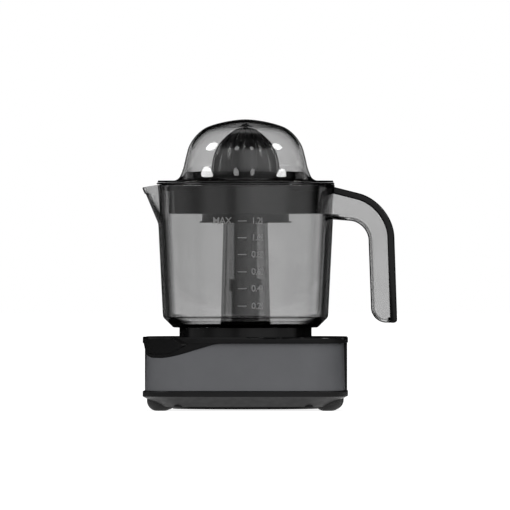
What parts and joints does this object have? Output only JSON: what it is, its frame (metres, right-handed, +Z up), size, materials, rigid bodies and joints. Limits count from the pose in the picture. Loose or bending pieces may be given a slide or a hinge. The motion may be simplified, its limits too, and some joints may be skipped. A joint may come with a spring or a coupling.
{
  "type": "citrus press juicer",
  "caption": "Electric citrus press: a square motor base carries a smoked clear jug with handle and spout, a strainer, a driven reamer cone and a clear dust cover.",
  "frame": {"origin": "on the table, under the middle of the whole object's box", "axes": "+Z up along the drive axis, -Y to the front panel, -X to the spout and +X to the handle"},
  "size_m": [0.2166, 0.1685, 0.2473],
  "materials": {
    "smoky_clear": "clear smoked plastic",
    "gloss_black": "moulded, polished",
    "satin_black": "moulded, fine texture",
    "cone_black": "moulded, polished",
    "panel_grey": "satin grey paint",
    "rubber": "moulded rubber",
    "steel": "bright steel",
    "laminated_steel": "stacked sheet",
    "bronze": "sintered bronze",
    "copper": "enamelled wire",
    "white_nylon": "moulded nylon",
    "switch_black": "moulded",
    "zinc": "zinc plated"
  },
  "bodies": {
    "base": {"bottom_cover": "satin_black", "rubber_feet": "rubber", "housing_screws": "zinc", "body_shell": "satin_black", "wrap_panel": "panel_grey", "top_cover": "gloss_black", "power_switch": "switch_black", "cord_gland": "satin_black", "shaft_tower": "cone_black", "tower_bush": "bronze", "tower_seal": "rubber", "gear_plate": "steel", "plate_bush": "bronze", "gear_plate_screws": "zinc", "idler_pin": "steel", "motor_laminations": "laminated_steel", "coil_bobbin": "white_nylon", "coil_winding": "copper", "motor_bridges": "steel", "motor_bushes": "bronze", "motor_screws": "zinc", "return_spring": "steel", "press_switch": "switch_black"},
    "button": {"power_button": "satin_black"},
    "cup": {"thrust_cup": "white_nylon"},
    "lever": {"switch_lever": "steel"},
    "spindle": {"output_shaft": "steel", "output_gear": "white_nylon", "shaft_clip": "steel"},
    "idler": {"idler_gear": "white_nylon"},
    "rotor": {"rotor_core": "laminated_steel", "rotor_shaft": "steel", "motor_pinion": "bronze"},
    "jug": {"jug": "smoky_clear", "handle_shell": "smoky_clear", "handle_strip": "gloss_black"},
    "tray": {"juice_tray": "gloss_black"},
    "basket": {"strainer_basket": "gloss_black"},
    "bush": {"stem_bush": "white_nylon"},
    "reamer": {"reamer_cone": "cone_black", "drive_stem": "cone_black", "stem_clip": "steel"},
    "cover": {"dust_cover": "smoky_clear"}
  },
  "joints": [
    {"name": "jug_lift", "type": "slide", "parent": "base", "child": "jug", "axis": [0, 0, 1], "range_m": [0, 0.065]},
    {"name": "tray_lift", "type": "slide", "parent": "jug", "child": "tray", "axis": [0, 0, 1], "range_m": [0, 0.045]},
    {"name": "basket_lift", "type": "slide", "parent": "tray", "child": "basket", "axis": [0, 0, 1], "range_m": [0, 0.045]},
    {"name": "cover_lift", "type": "slide", "parent": "basket", "child": "cover", "axis": [0, 0, 1], "range_m": [0, 0.06]},
    {"name": "spindle_press", "type": "slide", "parent": "base", "child": "cup", "axis": [0, 0, 1], "range_m": [-0.003, 0], "stiffness_N_per_m": 2000, "springref_m": 0.005, "deforming": ["return_spring"]},
    {"name": "spindle_spin", "type": "hinge", "parent": "cup", "child": "spindle", "pos_m": [-0.02055, 0, 0.06], "axis": [0, 0, 1], "continuous": true},
    {"name": "reamer_press", "type": "slide", "parent": "basket", "child": "bush", "axis": [0, 0, 1], "range_m": [-0.003, 0]},
    {"name": "reamer_spin", "type": "hinge", "parent": "bush", "child": "reamer", "pos_m": [-0.02055, 0, 0.19], "axis": [0, 0, 1], "continuous": true},
    {"name": "idler_spin", "type": "hinge", "parent": "base", "child": "idler", "pos_m": [-0.04118, 0.03572, 0.04], "axis": [0, 0, 1], "continuous": true},
    {"name": "rotor_spin", "type": "hinge", "parent": "base", "child": "rotor", "pos_m": [-0.06954, 0.03072, 0.02], "axis": [0, 0, 1], "continuous": true},
    {"name": "switch_lever_tilt", "type": "hinge", "parent": "base", "child": "lever", "pos_m": [0.01595, 0, 0.0198], "axis": [0, -1, 0], "range_deg": [0, 8]},
    {"name": "power_button_push", "type": "slide", "parent": "base", "child": "button", "axis": [0.7071, 0.7071, 0], "range_m": [0, 0.002], "stiffness_N_per_m": 1500, "springref_m": -0.001}
  ],
  "couplings": [
    {"joint": "reamer_press", "follows": "spindle_press", "ratio": 1},
    {"joint": "switch_lever_tilt", "follows": "spindle_press", "rad_per_m": -45.87},
    {"joint": "reamer_spin", "follows": "spindle_spin", "ratio": 1},
    {"joint": "idler_spin", "follows": "spindle_spin", "ratio": -4.5},
    {"joint": "rotor_spin", "follows": "spindle_spin", "ratio": 22.5}
  ]
}
